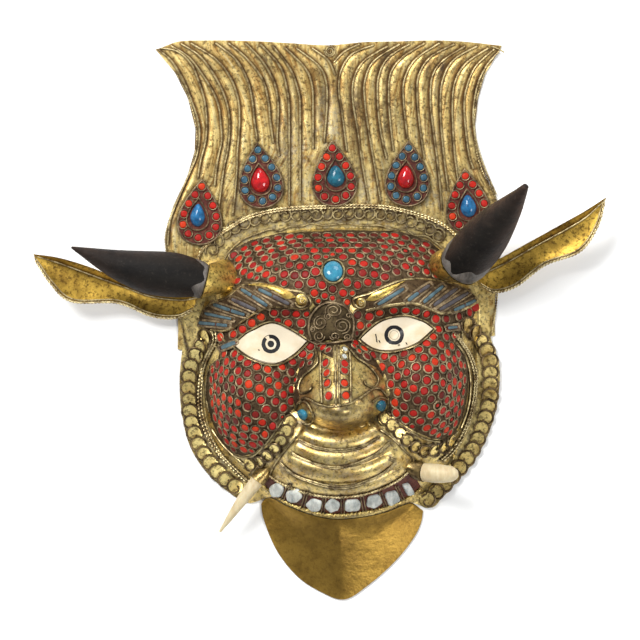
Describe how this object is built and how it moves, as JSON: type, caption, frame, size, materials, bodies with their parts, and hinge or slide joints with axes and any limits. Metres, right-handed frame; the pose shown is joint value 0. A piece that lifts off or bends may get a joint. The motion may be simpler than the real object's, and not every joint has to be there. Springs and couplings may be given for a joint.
{
  "type": "cham mask",
  "caption": "Horned cham mask of gilt sheet metal with a tall hair plate, leaf ears, bone eyes and fangs, and coral and turquoise inlay, lying on its back.",
  "frame": {"origin": "on the table, under the middle of the mask's bounding box", "axes": "+Z out of the face, +Y towards the top of the hair plate, +X to the viewer's right"},
  "size_m": [0.3782, 0.371, 0.0945],
  "materials": {
    "face_brass": "aged gilt, with dark patina in the hollows",
    "hair_brass": "pale worn brass",
    "chin_gold": "satin olive gilt",
    "ear_gold": "bright gilt",
    "socket_gilt": "worn gilt",
    "wire_brass": "aged filigree",
    "horn": "black horn, satin",
    "bone": "ivory-coloured bone",
    "shell": "blue-white shell",
    "turquoise": "polished turquoise",
    "blue_glass": "glossy blue cabochon",
    "red_glass": "glossy red cabochon"
  },
  "bodies": {
    "root": {"face": "face_brass", "crown": "hair_brass", "chin_plate": "chin_gold", "ear_left": "ear_gold", "ear_right": "ear_gold", "horn_left": "horn", "horn_right": "horn", "horn_socket_left": "socket_gilt", "horn_socket_right": "socket_gilt", "fang_collet_left": "socket_gilt", "fang_collet_right": "socket_gilt", "eye_left": "bone", "eye_right": "bone", "fang_left": "bone", "fang_right": "bone", "brow_left": "wire_brass", "brow_right": "wire_brass", "brow_medallion": "wire_brass", "forehead_collar": "wire_brass", "crown_drop_1": "wire_brass", "crown_drop_2": "wire_brass", "crown_drop_3": "wire_brass", "crown_drop_4": "wire_brass", "crown_drop_5": "wire_brass", "forehead_stone": "turquoise", "nostril_stone_left": "turquoise", "nostril_stone_right": "turquoise", "crown_stone_1": "blue_glass", "crown_stone_3": "blue_glass", "crown_stone_5": "blue_glass", "crown_stone_2": "red_glass", "crown_stone_4": "red_glass", "tooth_1": "shell", "tooth_2": "shell", "tooth_3": "shell", "tooth_4": "shell", "tooth_5": "shell", "tooth_6": "shell", "tooth_7": "shell", "tooth_8": "shell"}
  },
  "joints": []
}
